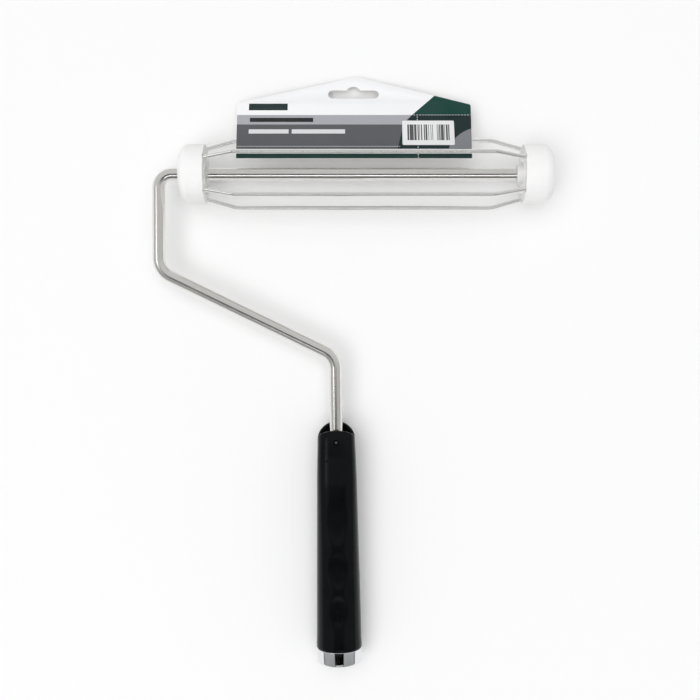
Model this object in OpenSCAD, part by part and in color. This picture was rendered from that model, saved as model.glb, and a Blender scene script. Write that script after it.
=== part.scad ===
// Cage-frame paint roller with a pinned handle, a pole socket in the
// handle's end and a hanging header card threaded through the cage.
// Lying flat: +X along the axle towards the free end, +Y away from the
// handle, +Z up. The origin is under the middle of the whole object, on
// the surface that it lies on.

/* [Rod] */
// Diameter of the bent steel rod
rod_d = 8; // [7.5:0.1:8.4]
// Gap from the inner cap's outer end to the arm's centreline
arm_gap = 13.15; // [11:0.25:24]
// Drop from the axle to the first corner of the arm
arm_drop = 61; // [52:1:80]
// Drop from the axle to the corner above the stem
stem_drop = 115; // [105:1:150]
// Sideways place of the stem, from the middle of the cage
stem_x = -18.3; // [-30:0.1:10]
// Lean of the stem and handle from square
stem_lean = 0.8; // [0:0.1:2]
// Bend radius between the axle and the arm
bend_r1 = 8.5; // [7:0.5:10]
// Bend radius between the arm and the diagonal
bend_r2 = 13; // [9:0.5:18]
// Bend radius between the diagonal and the stem
bend_r3 = 12; // [9:0.5:18]

/* [Cage] */
// Length between the inner faces of the two end caps
cage_len = 199.3; // [150:0.1:260]
// Diameter of a cage wire
wire_d = 2.8; // [2.4:0.1:3.2]
// Radius of the circle that the wires' straight stretches lie on
wire_r = 22.2; // [21:0.1:24]
// Radius of the circle where the wires enter the caps
wire_in_r = 16.6; // [16:0.1:16.8]
// Length of each tapering end of a wire outside its cap
wire_taper = 18.65; // [15:0.1:24]
// Angle that the cage is turned to about the axle
cage_turn = 60.5; // [58:0.5:63]

/* [End caps] */
// Outside radius of an end cap
cap_r = 18.7; // [18.6:0.1:19.5]
// Length of the cap beside the arm
cap_in_len = 16.7; // [16.5:0.1:20]
// Length of the cap at the free end
cap_out_len = 19.3; // [19:0.1:22]
// Radius of the caps' small ends
cap_tip_r = 10; // [9.6:0.1:12]

/* [Handle] */
// Length of the black handle moulding
handle_len = 143.5; // [135:0.5:160]
// Distance from the stem's corner to the handle's rear lip
handle_top = 41.8; // [36:0.1:60]
// Width of the handle under its rounded top
handle_w = 24.1; // [23:0.1:25]
// Width of the handle at its foot
handle_foot_w = 28.8; // [28:0.1:30]
// Length of the bright ferrule
ferrule_len = 9.6; // [8:0.1:12]
// Outside diameter of the ferrule
ferrule_d = 28.2; // [28:0.1:29]
// Radius of the pole socket at the thread's crests
socket_r = 7.1; // [6.8:0.05:7.4]
// Depth of the pole socket
socket_depth = 42; // [36:1:44]

/* [Header card] */
// Width of the card
card_w = 148.1; // [120:0.1:160]
// Height of the card at its peak
card_h = 62.9; // [60:0.1:68]
// Height of the card's shoulders
card_side = 42; // [42:0.5:50]
// How much wider each side of the card stands at its shoulder
card_flare = 0.8; // [0:0.1:1.5]
// Thickness of the board
card_t = 0.5; // [0.4:0.05:0.6]
// Tilt of the card from level
card_tilt = 23.8; // [22:0.1:25]
// Sideways place of the card's middle, from the middle of the cage
card_x = -6.35; // [-15:0.05:15]
// Width of the hanging slot
slot_w = 32.6; // [28:0.1:34]

/* [Hidden] */
$fn = 64;
rr = rod_d/2;
wr = wire_d/2;
half = cage_len/2;
in_x = -(half + cap_in_len);      // outer end of the inner cap
out_x = half + cap_out_len;       // outer end of the outer cap
arm_x = in_x - arm_gap;
tip_x = out_x - 8;                // end of the rod
wire_angle = cage_turn + 216;     // the wire that touches the surface below
table_z = -(-wire_r*sin(wire_angle) + wr);
ferrule_end = handle_top + handle_len + ferrule_len;
reach = stem_drop + ferrule_end*cos(stem_lean);
tilt = asin((-table_z - ferrule_d/2)/reach);
// card: height above the surface of its lower edge, set by the wire it lies on
rear_a = cage_turn + 288;
rest_y = wire_r*cos(rear_a);
rest_z = wire_r*sin(rear_a) + (wr + card_t/2 + 0.25)/cos(card_tilt);
card_y = 9.4;
card_z = rest_z + (rest_y - card_y)*tan(card_tilt);
peak_y = card_y + card_h*cos(card_tilt) + card_t/2*sin(card_tilt);
// whole object's box, for the origin
x_lo = arm_x - rr - 0.1;
x_hi = out_x;
y_lo = -reach;
y_hi = peak_y;
origin = [-(x_lo + x_hi)/2, -(y_lo + y_hi)/2, -table_z];
STEEL = "silver";
NYLON = "ivory";

// ---- placing ----
module placed() { translate(origin) children(); }
// the plane of the bent rod, dipping towards the handle
module rod_plane() { placed() rotate([tilt, 0, 0]) children(); }
// handle axis: +Z from the stem's corner down the handle, +Y up off the surface
module on_stem() { rod_plane() translate([stem_x, -stem_drop, 0]) rotate([0, 0, stem_lean]) rotate([90, 0, 0]) children(); }
// ring from x0 to x1 along the axle
module axle_ring(x0, x1, ro, ri) {
  placed() translate([x0, 0, 0]) rotate([0, 90, 0]) difference() {
    cylinder(h = x1 - x0, r = ro);
    translate([0, 0, -1]) cylinder(h = x1 - x0 + 2, r = ri);
  }
}
// solid of revolution about the axle from a list of [x, radius] points
module axle_turned(pts) {
  placed() rotate([0, 90, 0]) rotate_extrude() polygon([for (p = pts) [p[1], p[0]]]);
}

// ---- bent round bar in the XY plane ----
lap = 0.2;                         // how far a straight stretch runs into a bend
swell = 0.012;                     // how much fuller the bar is in its bends
function unit(v) = v/norm(v);
function ang(v) = atan2(v[1], v[0]);
function turn(p, i) = let (a = ang(p[i] - p[i-1]), b = ang(p[i+1] - p[i]), d = b - a)
  d > 180 ? d - 360 : (d < -180 ? d + 360 : d);
function cut(p, radii, i) = (i <= 0 || i >= len(p) - 1) ? 0 : radii[i]*tan(abs(turn(p, i))/2);
module bent_bar(p, radii, r) {
  for (i = [0 : len(p) - 2]) {
    d = unit(p[i+1] - p[i]);
    s = p[i] + d*cut(p, radii, i);
    l = norm(p[i+1] - p[i]) - cut(p, radii, i) - cut(p, radii, i+1);
    a = i == 0 ? 0 : lap;
    b = i == len(p) - 2 ? 0 : lap;
    translate([s[0], s[1], 0]) rotate([0, 0, ang(d)]) rotate([0, 90, 0]) translate([0, 0, -a]) cylinder(h = l + a + b, r = r);
  }
  for (i = [1 : len(p) - 2]) {
    t = turn(p, i);
    d = unit(p[i] - p[i-1]);
    s = p[i] - d*cut(p, radii, i);
    sg = t > 0 ? 1 : -1;
    c = s + radii[i]*sg*[-d[1], d[0]];
    translate([c[0], c[1], 0]) rotate([0, 0, ang(d) + (sg > 0 ? -90 : 90 + t)])
      rotate_extrude(angle = abs(t)) translate([radii[i], 0]) circle(r = r + swell);
  }
}

// ---- frame ----
pin_s = handle_top + 11.8;
rod_in = 82;                       // length of rod inside the handle
rod_pts = [[tip_x, 0], [arm_x, 0], [arm_x - 0.05, -arm_drop], [stem_x, -stem_drop],
  [stem_x + (handle_top + rod_in)*sin(stem_lean), -stem_drop - (handle_top + rod_in)*cos(stem_lean)]];
module frame_rod() {
  color(STEEL) difference() {
    rod_plane() bent_bar(rod_pts, [0, bend_r1, bend_r2, bend_r3, 0], rr);
    on_stem() translate([0, 15, pin_s]) rotate([90, 0, 0]) cylinder(h = 30, r = 1.05);
  }
}
module rod_stop_ring() { color(STEEL) axle_ring(in_x + 0.2, in_x + 3.0, 6.2, rr); }
module inner_thrust_washer() { color("gainsboro") axle_ring(in_x + 3.15, in_x + 4.15, 6.4, rr + 0.15); }
module outer_thrust_washer() { color("gainsboro") axle_ring(half + 9.15, half + 10.15, 6.4, rr + 0.15); }
// toothed press-on nut: a dished ring with six notches in its bore
module push_nut() {
  x0 = half + 10.3;
  color(STEEL) placed() translate([x0, 0, 0]) rotate([0, 90, 0]) difference() {
    rotate_extrude() polygon([[rr - 0.02, 0.8], [5.0, 0], [6.3, 0], [6.3, 0.5], [5.1, 0.5], [rr - 0.02, 1.3]]);
    for (i = [0 : 5]) rotate([0, 0, 60*i]) translate([rr - 0.5, -0.35, -1]) cube([1.4, 0.7, 4]);
  }
}

// ---- cage ----
slope = atan((wire_r - wire_in_r)/wire_taper);
sink = 7.5;                        // length of wire inside each cap, along the axle
module wire(i) {
  color(STEEL) placed() rotate([cage_turn + 72*i, 0, 0])
    bent_bar([[-half - sink, wire_in_r - sink*tan(slope)], [-half + wire_taper, wire_r],
      [half - wire_taper, wire_r], [half + sink, wire_in_r - sink*tan(slope)]], [0, 9, 9, 0], wr);
}
module cage_wire_1() { wire(0); }
module cage_wire_2() { wire(1); }
module cage_wire_3() { wire(2); }
module cage_wire_4() { wire(3); }
module cage_wire_5() { wire(4); }
// the five slanting sockets for the wires, for the cap on side s
module wire_sockets(s) {
  placed() for (i = [0 : 4]) rotate([cage_turn + 72*i, 0, 0])
    translate([s*(half + sink), wire_in_r - sink*tan(slope), 0])
      rotate([0, 0, s > 0 ? 180 - slope : slope]) rotate([0, 90, 0])
        translate([0, 0, -0.02]) cylinder(h = 14, r = wr + 0.03);
}
module cap_shape(s, l) {
  e = half + l;
  n = 10;
  // straight side, quarter-ellipse shoulder, flat tip; then the annular recess in the inner face
  axle_turned(concat(
    [[s*half, 5.8], [s*half, 7.6], [s*(half + 1.4), 8.0], [s*(half + 1.4), 12.6], [s*half, 13.0],
     [s*half, cap_r - 0.5], [s*(half + 0.5), cap_r]],
    [for (k = [0 : n]) let (a = 90*k/n) [s*(half + l*0.6 + (l*0.4 - 0.3)*sin(a)), cap_tip_r + (cap_r - cap_tip_r)*cos(a)]],
    [[s*e, cap_tip_r - 0.4], [s*e, 5.8]]));
}
module inner_end_cap() {
  color(NYLON) difference() {
    cap_shape(-1, cap_in_len);
    placed() translate([in_x - 1, 0, 0]) rotate([0, 90, 0]) cylinder(h = 1 + 5.6, r = 7);
    wire_sockets(-1);
  }
}
module outer_end_cap() {
  color(NYLON) difference() {
    cap_shape(1, cap_out_len);
    placed() translate([half + 7.8, 0, 0]) rotate([0, 90, 0]) cylinder(h = 20, r = 7);
    wire_sockets(1);
  }
}
// plain bearing sleeves, flanged against the thrust washers
module inner_bush() {
  color("whitesmoke") axle_turned([[-half, rr + 0.06], [-half, 5.8], [in_x + 5.6, 5.8],
    [in_x + 5.6, 6.8], [in_x + 4.3, 6.8], [in_x + 4.3, rr + 0.06]]);
}
module outer_bush() {
  color("whitesmoke") axle_turned([[half - 3.75, rr + 0.06], [half - 3.75, 5.2], [half - 3.35, 5.6], [half, 5.8],
    [half + 7.8, 5.8], [half + 7.8, 6.8], [half + 9, 6.8], [half + 9, rr + 0.06]]);
}
module outer_cap_plug() {
  color(NYLON) axle_turned([[out_x - 5.4, 5.9], [out_x - 5.4, 7.0], [out_x - 0.9, 7.0], [out_x - 0.3, 6.4],
    [out_x, 4.6], [out_x, 0], [out_x - 2.2, 0], [out_x - 2.2, 5.9]]);
}

// ---- handle ----
// stations down the handle: half width, height above and below the axis, corner squareness
half_w = [[0, handle_w/2 - 0.2], [12, handle_w/2], [37, handle_w/2 + 0.6], [62, handle_w/2 + 1.0],
  [88, handle_w/2 + 1.4], [113, handle_w/2 + 1.8], [134, handle_foot_w/2 - 0.3], [140, handle_foot_w/2 - 0.15],
  [143, handle_foot_w/2], [145.6, handle_foot_w/2], [146.3, handle_foot_w/2 - 0.5]];
// finger and thumb swells down the front, palm waves down the back
front_h = [[0, 9.9], [4, 10.8], [8, 11.2], [16, 11.3], [21, 11.5], [42, 12.9], [46, 12.95], [50, 12.7],
  [76, 13.8], [79, 13.75], [84, 13.2], [104, 14.0], [107, 13.9], [111, 13.4], [126, 13.9], [134, 13.8],
  [143, 14.1], [145.6, 14.1], [146.3, 13.6]];
back_h = [[0, 9.9], [4, 10.6], [8, 11.0], [18, 11.6], [32, 12.8], [45, 12.6], [56, 11.8], [68, 12.7],
  [80, 12.3], [92, 11.9], [104, 12.8], [118, 13.2], [134, 13.6], [143, 14.1], [145.6, 14.1], [146.3, 13.6]];
square_n = [[0, 2.9], [40, 3.0], [60, 2.6], [90, 2.3], [130, 2.1], [146.3, 2]];
mouth_depth = 18;                  // depth of the hollow round the rod
mouth_wall = 1.7;
lip_drop = 4.6;                    // the front lip stands this much below the rear one
lip_side = 9.3;                    // the lips' ends, at the sides, stand this much below the rear one's middle
function spow(v, n) = sign(v)*pow(abs(v), 2/n);
// how far down the rim lies at a point of the section
function rim(x, y, w) = let (e = min(1, abs(x)/w), a = 1 - sqrt(max(0, 1 - e*e)))
  lip_side*a + lip_drop*max(0, min(1, (y + 9.9)/19.8))*(1 - a);
// ring of the handle's skin at station s, inset by t; the rings near the top follow the rim
blend_s = 24;
function ring(s, t, m) = [for (j = [0 : m - 1]) let (a = 360*j/m, q = max(0, s), n = lookup(q, square_n),
    w = lookup(q, half_w) - t,
    x = w*spow(cos(a), n),
    y = ((sin(a) >= 0 ? lookup(q, front_h) : lookup(q, back_h)) - t)*spow(sin(a), n),
    r = rim(x, y, w + 0.01))
  [x, y, s >= blend_s ? s*handle_len/146.3 : r + (blend_s - r)*s/blend_s]];
module skin(stations, t, m) {
  n = len(stations);
  pts = [for (s = stations) each ring(s, t, m)];
  faces = concat(
    [for (j = [1 : m - 2]) [0, j, j + 1]],
    [for (i = [0 : n - 2]) for (j = [0 : m - 1]) [i*m + j, (i + 1)*m + j, (i + 1)*m + (j + 1)%m]],
    [for (i = [0 : n - 2]) for (j = [0 : m - 1]) [i*m + j, (i + 1)*m + (j + 1)%m, i*m + (j + 1)%m]],
    [for (j = [1 : m - 2]) [(n - 1)*m, (n - 1)*m + j + 1, (n - 1)*m + j]]);
  polyhedron(points = pts, faces = faces, convexity = 6);
}
module handle_body() {
  color([0.05, 0.05, 0.06]) on_stem() translate([0, 0, handle_top]) difference() {
    skin(concat([0, 1, 3, 6, 9, 12, 16, 20], [for (s = [24 : 5 : 134]) s], [140, 143, 145.6, 146.3]), 0, 44);
    // mouth, rod hole, socket hole from the foot, pin hole
    skin([-6, 0, 4, 10, mouth_depth], mouth_wall, 32);
    translate([0, 0, -2]) cylinder(h = rod_in + 3, r = rr);
    translate([0, 0, handle_len - 46]) cylinder(h = 50, r = 11);
    translate([0, 18, 11.8]) rotate([90, 0, 0]) cylinder(h = 36, r = 1.05);
  }
}
module handle_pin() {
  color(STEEL) on_stem() translate([0, 11.5, pin_s]) rotate([90, 0, 0]) cylinder(h = 22.7, r = 1);
}
module socket_insert() {
  color("dimgray") on_stem() translate([0, 0, handle_top + handle_len]) difference() {
    union() {
      translate([0, 0, -46]) cylinder(h = 46, r = 11);
      cylinder(h = ferrule_len - 0.9, r = 13.2);
    }
    translate([0, 0, ferrule_len - 0.9 - socket_depth]) cylinder(h = socket_depth + 2, r = socket_r);
  }
}
module end_ferrule() {
  fr = ferrule_d/2;
  l = ferrule_len;
  color("gainsboro") on_stem() translate([0, 0, handle_top + handle_len]) rotate_extrude()
    polygon(concat([[13.2, 0.05], [fr, 0.05], [fr, l - 2.4]],
      [for (k = [1 : 8]) let (a = 90*k/8) [fr - 1.6 + 1.6*cos(a), l - 1.6 + 1.6*sin(a)]],
      [[8.6, l], [8.6, l - 0.9], [13.2, l - 0.9]]));
}

// ---- header card ----
// card frame: X across, Y up the card from its lower edge, on the card's middle plane
module on_card() { placed() translate([card_x, card_y, card_z]) rotate([-card_tilt, 0, 0]) children(); }
peak_x = 1.8;
module card_outline() {
  w = card_w/2;
  v = w + card_flare;
  // roof lines fall from the rounded peak to the clipped shoulders
  polygon([[-w, 0], [w, 0], [v, card_side - 2.4], [v - 0.5, card_side - 1.2], [peak_x + 4, card_h - 1.2], [peak_x + 1.8, card_h - 0.3],
    [peak_x, card_h], [peak_x - 1.8, card_h - 0.3], [peak_x - 4, card_h - 1.2], [-v + 0.5, card_side], [-v, card_side - 1.2]]);
}
module hang_slot() {
  w = slot_w/2;
  translate([-w + 3.15, 45.4]) square([slot_w - 6.3, 6.3]);
  translate([-w + 3.15, 48.55]) circle(r = 3.15);
  translate([w - 3.15, 48.55]) circle(r = 3.15);
  translate([0, 50.1]) circle(r = 4.5);
}
module header_card() {
  color("white") on_card() translate([0, 0, -card_t/2]) linear_extrude(height = card_t) difference() {
    card_outline();
    translate([-0.3, 0]) hang_slot();
  }
}
module header_label() {
  color("snow") on_card() translate([30.6, 9.7, card_t/2]) linear_extrude(height = 0.12) square([33, 18.5]);
}

frame_rod();
rod_stop_ring();
inner_thrust_washer();
outer_thrust_washer();
push_nut();
inner_end_cap();
outer_end_cap();
inner_bush();
outer_bush();
outer_cap_plug();
cage_wire_1();
cage_wire_2();
cage_wire_3();
cage_wire_4();
cage_wire_5();
handle_body();
handle_pin();
socket_insert();
end_ferrule();
header_card();
header_label();
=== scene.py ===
import math
import random

import bmesh
import bpy
import numpy as np
from mathutils import Matrix, Vector
from mathutils.geometry import tessellate_polygon


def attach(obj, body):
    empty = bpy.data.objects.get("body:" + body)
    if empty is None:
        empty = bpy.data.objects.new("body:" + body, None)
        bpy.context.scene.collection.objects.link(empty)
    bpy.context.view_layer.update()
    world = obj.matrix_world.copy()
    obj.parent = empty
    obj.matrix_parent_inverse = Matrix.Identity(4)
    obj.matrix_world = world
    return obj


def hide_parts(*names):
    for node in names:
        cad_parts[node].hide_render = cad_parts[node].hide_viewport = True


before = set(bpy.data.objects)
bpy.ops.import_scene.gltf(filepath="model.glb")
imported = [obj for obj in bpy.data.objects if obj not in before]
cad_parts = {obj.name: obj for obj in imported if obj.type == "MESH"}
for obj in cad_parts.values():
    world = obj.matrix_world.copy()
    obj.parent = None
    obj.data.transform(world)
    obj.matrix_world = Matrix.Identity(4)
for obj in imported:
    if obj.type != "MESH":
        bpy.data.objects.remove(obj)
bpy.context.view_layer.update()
random.seed(7)
RNG = np.random.default_rng(7)

# ------------------------------------------------------------------ sizes, in mm
ROD_R = 4.0
HALF = 99.65
IN_LEN, OUT_LEN = 16.7, 19.3
IN_X, OUT_X = -(HALF + IN_LEN), HALF + OUT_LEN
ARM_X = IN_X - 13.15
TIP_X = OUT_X - 8
ARM_DROP, STEM_DROP, STEM_X = 61.0, 115.0, -18.3
LEAN = math.radians(0.8)
HANDLE_TOP, HANDLE_LEN, FERRULE_LEN, FERRULE_D = 41.8, 143.5, 9.6, 28.2
CAGE_TURN, WIRE_R, WIRE_IN_R, WIRE_TAPER, WR = 60.5, 22.2, 16.6, 18.65, 1.4
CAP_R, CAP_TIP_R = 18.7, 10.0
CARD_W, CARD_H, CARD_SIDE, CARD_FLARE, CARD_T = 148.1, 62.9, 42.0, 0.8, 0.5
CARD_TILT = math.radians(23.8)
CARD_X, CARD_Y = -6.35, 9.4
TABLE_Z = -(-WIRE_R * math.sin(math.radians(CAGE_TURN + 216)) + WR)
REACH = STEM_DROP + (HANDLE_TOP + HANDLE_LEN + FERRULE_LEN) * math.cos(LEAN)
TILT = math.asin((-TABLE_Z - FERRULE_D / 2) / REACH)
REAR = math.radians(CAGE_TURN + 288)
REST_Y = WIRE_R * math.cos(REAR)
REST_Z = WIRE_R * math.sin(REAR) + (WR + CARD_T / 2 + 0.25) / math.cos(CARD_TILT)
CARD_Z = REST_Z + (REST_Y - CARD_Y) * math.tan(CARD_TILT)
PEAK_Y = CARD_Y + CARD_H * math.cos(CARD_TILT) + CARD_T / 2 * math.sin(CARD_TILT)
ORIGIN = Vector((-(ARM_X - ROD_R - 0.1 + OUT_X) / 2, -(-REACH + PEAK_Y) / 2, -TABLE_Z))

MM = Matrix.Scale(0.001, 4)
AXLE = MM @ Matrix.Translation(ORIGIN)
PLANE = AXLE @ Matrix.Rotation(TILT, 4, "X")
STEM = (PLANE @ Matrix.Translation((STEM_X, -STEM_DROP, 0)) @ Matrix.Rotation(LEAN, 4, "Z")
        @ Matrix.Rotation(math.pi / 2, 4, "X"))
HANDLE = STEM @ Matrix.Translation((0, 0, HANDLE_TOP))
CARD = AXLE @ Matrix.Translation((CARD_X, CARD_Y, CARD_Z)) @ Matrix.Rotation(-CARD_TILT, 4, "X")
# turned pieces: (u, v, axial) to the axle's frame
TURN_X = AXLE @ Matrix(((0, 0, 1, 0), (1, 0, 0, 0), (0, 1, 0, 0), (0, 0, 0, 1)))


# ------------------------------------------------------------------ mesh tools
def make(name, verts, faces, matrix, rest=None, smooth=30, merge=None):
    """A mesh object from local mm points, placed by matrix, with its local or straightened points kept as "rest" in metres."""
    v = np.asarray(verts, float)
    m = np.array(matrix)
    w = v @ m[:3, :3].T + m[:3, 3]
    mesh = bpy.data.meshes.new(name)
    mesh.from_pydata(w.tolist(), [], [list(map(int, f)) for f in faces])
    a = mesh.attributes.new("rest", "FLOAT_VECTOR", "POINT")
    r = (np.asarray(rest, float) if rest is not None else v) * 0.001
    a.data.foreach_set("vector", r.astype(np.float32).ravel())
    bm = bmesh.new()
    bm.from_mesh(mesh)
    if merge:
        bmesh.ops.remove_doubles(bm, verts=bm.verts, dist=merge * 0.001)
    bmesh.ops.recalc_face_normals(bm, faces=bm.faces)
    bm.to_mesh(mesh)
    bm.free()
    o = bpy.data.objects.new(name, mesh)
    bpy.context.scene.collection.objects.link(o)
    shade(o, smooth)
    return o


def shade(o, angle=30):
    o.data.shade_smooth()
    o.data.set_sharp_from_angle(angle=math.radians(angle))


def apply_mods(o):
    bpy.context.view_layer.update()
    dg = bpy.context.evaluated_depsgraph_get()
    new = bpy.data.meshes.new_from_object(o.evaluated_get(dg))
    old = o.data
    o.modifiers.clear()
    o.data = new
    new.name = old.name
    bpy.data.meshes.remove(old)


def boolean(o, other, kind="DIFFERENCE", smooth=30):
    b = o.modifiers.new("cut", "BOOLEAN")
    b.operation = kind
    b.solver = "EXACT"
    b.object = other
    apply_mods(o)
    bpy.data.objects.remove(other)
    shade(o, smooth)
    return o


def grid_faces(rows, cols, closed_rows=False):
    f = []
    for i in range(rows if closed_rows else rows - 1):
        for j in range(cols):
            a, b = i * cols + j, i * cols + (j + 1) % cols
            c, d = ((i + 1) % rows) * cols + (j + 1) % cols, ((i + 1) % rows) * cols + j
            f.append((a, b, c, d))
    return f


def rounded(points, closed=False):
    """Points [a, r, fillet] joined by straight lines with their corners rounded to the given fillet."""
    pts = [Vector((p[0], p[1])) for p in points]
    out = []
    n = len(pts)
    for i, p in enumerate(points):
        f = p[2] if len(p) > 2 else 0
        if f <= 0 or (not closed and i in (0, n - 1)):
            out.append(tuple(pts[i]))
            continue
        a, b, c = pts[(i - 1) % n], pts[i], pts[(i + 1) % n]
        u, w = (a - b).normalized(), (c - b).normalized()
        ang = u.angle(w)
        if ang > math.pi - 0.02:
            out.append(tuple(b))
            continue
        t = min(f / math.tan(ang / 2), 0.49 * (a - b).length, 0.49 * (c - b).length)
        r = t * math.tan(ang / 2)
        centre = b + (u + w).normalized() * (r / math.sin(ang / 2))
        s, e = b + u * t - centre, b + w * t - centre
        turn = s.angle_signed(e)
        k = max(2, int(abs(turn) / math.radians(18)) + 1)
        for q in range(k + 1):
            th = -turn * q / k
            out.append((centre.x + s.x * math.cos(th) - s.y * math.sin(th), centre.y + s.x * math.sin(th) + s.y * math.cos(th)))
    return out


def lathe(name, profile, matrix, n=96, closed=True, smooth=32, wobble=0.0):
    """A turned piece: closed profile of (axial, radius) points, or open with both ends on the axis."""
    a = np.array([p[0] for p in profile])
    r = np.array([p[1] for p in profile])
    th = np.linspace(0, 2 * math.pi, n, endpoint=False)
    rr = np.repeat(r[:, None], n, 1) * (1 + wobble * np.sin(3 * th)[None, :])
    v = np.stack([rr * np.cos(th), rr * np.sin(th), np.repeat(a[:, None], n, 1)], -1).reshape(-1, 3)
    return make(name, v, grid_faces(len(profile), n, closed), matrix, smooth=smooth, merge=1e-4)


def path2d(pts, radii, step=4.0):
    """Points and directions along a polyline with rounded corners: (x, y, dx, dy, s)."""
    p = [np.array(q, float) for q in pts]
    out = []
    s = 0.0
    pos = p[0]
    for i in range(1, len(p)):
        d = (p[i] - p[i - 1]) / np.linalg.norm(p[i] - p[i - 1])
        if i < len(p) - 1:
            e = (p[i + 1] - p[i]) / np.linalg.norm(p[i + 1] - p[i])
            turn = math.atan2(d[0] * e[1] - d[1] * e[0], float(d @ e))
            cut = radii[i] * math.tan(abs(turn) / 2)
        else:
            turn, cut = 0, 0
        end = p[i] - d * cut
        length = float(np.linalg.norm(end - pos))
        k = max(1, int(length / 12))
        for q in range(k + 1):
            if q == 0 and out:
                continue
            c = pos + d * length * q / k
            out.append((c[0], c[1], d[0], d[1], s + length * q / k))
        s += length
        if i < len(p) - 1:
            sg = 1 if turn > 0 else -1
            centre = end + radii[i] * sg * np.array([-d[1], d[0]])
            k = max(3, int(abs(turn) / math.radians(step)) + 1)
            rel = end - centre
            for q in range(1, k + 1):
                t = turn * q / k
                ct, st = math.cos(t), math.sin(t)
                c = centre + np.array([rel[0] * ct - rel[1] * st, rel[0] * st + rel[1] * ct])
                out.append((c[0], c[1], d[0] * ct - d[1] * st, d[0] * st + d[1] * ct, s + abs(t) * radii[i]))
            s += abs(turn) * radii[i]
            pos = np.array(out[-1][:2])
    return out


def tube(name, pts, radii, r, matrix, n=40, chamfer=0.5):
    """A bent round bar in the local XY plane, its straightened place kept for the drawn finish."""
    line = path2d(pts, radii)
    rings = []
    x, y, dx, dy, s = line[0]
    rings.append((x, y, dx, dy, s, 0.0))
    rings.append((x, y, dx, dy, s, r - chamfer))
    rings.append((x + dx * chamfer, y + dy * chamfer, dx, dy, s + chamfer, r))
    for q in line[1:-1]:
        rings.append((*q, r))
    x, y, dx, dy, s = line[-1]
    rings.append((x - dx * chamfer, y - dy * chamfer, dx, dy, s - chamfer, r))
    rings.append((x, y, dx, dy, s, r - chamfer))
    rings.append((x, y, dx, dy, s, 0.0))
    th = np.linspace(0, 2 * math.pi, n, endpoint=False)
    v, rest = [], []
    for x, y, dx, dy, s, q in rings:
        for t in th:
            c, u = q * math.cos(t), q * math.sin(t)
            v.append((x - dy * c, y + dx * c, u))
            rest.append((s, c, u))
    return make(name, v, grid_faces(len(rings), n), matrix, rest, smooth=40, merge=1e-4)


def loop_normals(p):
    p = np.asarray(p, float)
    a, b = np.roll(p, 1, 0), np.roll(p, -1, 0)
    d1 = (p - a) / np.linalg.norm(p - a, axis=1)[:, None]
    d2 = (b - p) / np.linalg.norm(b - p, axis=1)[:, None]
    n1, n2 = np.stack([-d1[:, 1], d1[:, 0]], 1), np.stack([-d2[:, 1], d2[:, 0]], 1)
    n = n1 + n2
    n /= np.linalg.norm(n, axis=1)[:, None]
    return n / np.maximum(0.5, (n * n1).sum(1))[:, None]


def plate(name, outer, holes, t, bevel, matrix, z0=0.0):
    """A thin board cut to an outline, with softly rounded cut edges; loops run anticlockwise round the outline and clockwise round holes."""
    loops = [np.asarray(outer, float)] + [np.asarray(h, float) for h in holes]
    for i, l in enumerate(loops):
        area = 0.5 * np.sum(l[:, 0] * np.roll(l[:, 1], -1) - l[:, 1] * np.roll(l[:, 0], -1))
        if (area < 0) != (i > 0):
            loops[i] = l[::-1]
    rings = [(bevel, t / 2), (bevel * 0.3, t / 2 - bevel * 0.3), (0, t / 2 - bevel), (0, -t / 2 + bevel), (bevel * 0.3, -t / 2 + bevel * 0.3), (bevel, -t / 2)]
    v, f, start = [], [], []
    for l in loops:
        n = loop_normals(l)
        k = len(l)
        base = len(v)
        start.append(base)
        for inset, z in rings:
            q = l + n * inset
            v += [(a, b, z + z0) for a, b in q]
        for i in range(len(rings) - 1):
            for j in range(k):
                f.append((base + i * k + j, base + i * k + (j + 1) % k, base + (i + 1) * k + (j + 1) % k, base + (i + 1) * k + j))
    flat = [[Vector((v[s + j][0], v[s + j][1], 0)) for j in range(len(l))] for s, l in zip(start, loops)]
    index = [s + j for s, l in zip(start, loops) for j in range(len(l))]
    last = [s + (len(rings) - 1) * len(l) + j for s, l in zip(start, loops) for j in range(len(l))]
    for tri in tessellate_polygon(flat):
        f.append([index[i] for i in tri])
        f.append([last[i] for i in reversed(tri)])
    return make(name, v, f, matrix, smooth=50)


def rounded_outline(points, seg=10):
    out = []
    n = len(points)
    for i, (x, y, r) in enumerate(points):
        if r <= 0:
            out.append((x, y))
            continue
        a = Vector(points[(i - 1) % n][:2]); b = Vector((x, y)); c = Vector(points[(i + 1) % n][:2])
        u, w = (a - b).normalized(), (c - b).normalized()
        ang = u.angle(w)
        t = r / math.tan(ang / 2)
        p0, p1 = b + u * t, b + w * t
        centre = b + (u + w).normalized() * (r / math.sin(ang / 2))
        a0 = math.atan2(*(p0 - centre).yx)
        a1 = math.atan2(*(p1 - centre).yx)
        d = (a1 - a0 + math.pi) % (2 * math.pi) - math.pi
        k = max(2, int(abs(d) / math.radians(90 / seg)))
        out += [(centre.x + r * math.cos(a0 + d * q / k), centre.y + r * math.sin(a0 + d * q / k)) for q in range(k + 1)]
    return out


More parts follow.
